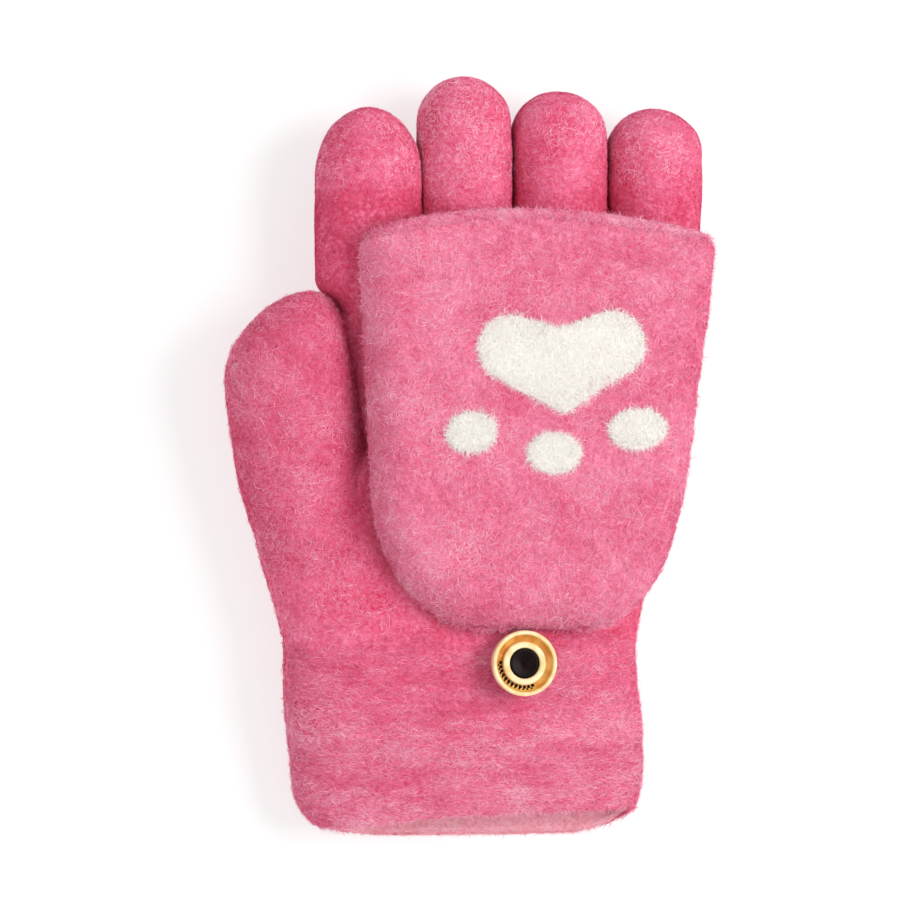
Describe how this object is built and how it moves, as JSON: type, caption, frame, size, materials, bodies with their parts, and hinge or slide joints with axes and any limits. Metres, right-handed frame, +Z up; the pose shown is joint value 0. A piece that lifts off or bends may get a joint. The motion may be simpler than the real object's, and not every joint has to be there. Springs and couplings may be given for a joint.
{
  "type": "convertible flip-top mitten",
  "caption": "Fuzzy knitted child's mitten with closed fingers and a flip-over cap, folded back on the hand behind a round button.",
  "frame": {"origin": "on the palm's flat resting face, under the middle of the palm where the underside starts to rise to the fingers", "axes": "+X across the hand away from the thumb, +Y along the hand towards the fingertips, +Z up out of the back of the hand"},
  "size_m": [0.0988, 0.155, 0.0312],
  "materials": {
    "knit": "brushed knit",
    "flap_knit": "brushed knit",
    "lining": "soft fleece",
    "white_knit": "brushed knit",
    "thread": "sewing thread",
    "elastic": "covered elastic",
    "gold_resin": "polished",
    "cream_resin": "polished",
    "dark_resin": "polished"
  },
  "bodies": {
    "hand": {"cuff_knit": "knit", "hand_knit": "knit", "thumb_knit": "knit", "index_finger_knit": "knit", "middle_finger_knit": "knit", "ring_finger_knit": "knit", "little_finger_knit": "knit", "palm_lining": "lining", "thumb_lining": "lining", "index_finger_lining": "lining", "middle_finger_lining": "lining", "ring_finger_lining": "lining", "little_finger_lining": "lining", "cuff_hem": "lining", "hinge_seam_cord": "thread", "seam_tack_left": "thread", "seam_tack_right": "thread", "button_shank": "thread"},
    "flap_back": {"flap_back_panel": "flap_knit", "elastic_loop": "elastic", "loop_tab": "flap_knit"},
    "flap_front": {"flap_pouch": "flap_knit", "flap_mouth_hem": "flap_knit", "paw_heart_patch": "white_knit", "paw_left_patch": "white_knit", "paw_middle_patch": "white_knit", "paw_right_patch": "white_knit"},
    "button": {"button_rim": "gold_resin", "button_ring": "cream_resin", "button_core": "dark_resin"}
  },
  "joints": [
    {"name": "flap_flip", "type": "hinge", "parent": "hand", "child": "flap_back", "pos_m": [0.0115, 0.0275, 0.0246], "axis": [-1, 0, 0], "range_deg": [0, 180], "deforming": ["elastic_loop"]},
    {"name": "pouch_open", "type": "slide", "parent": "flap_back", "child": "flap_front", "axis": [0, 0, 1], "range_m": [0, 0.017], "deforming": ["flap_pouch", "flap_mouth_hem", "paw_heart_patch", "paw_left_patch", "paw_middle_patch", "paw_right_patch"]},
    {"name": "button_tilt", "type": "hinge", "parent": "hand", "child": "button", "pos_m": [0.0084, -0.0416, 0.0247], "axis": [1, 0, 0], "range_deg": [-6, 6], "stiffness_Nm_per_rad": 0.002}
  ],
  "couplings": [
    {"joint": "pouch_open", "follows": "flap_flip", "m_per_rad": 0.00541}
  ]
}
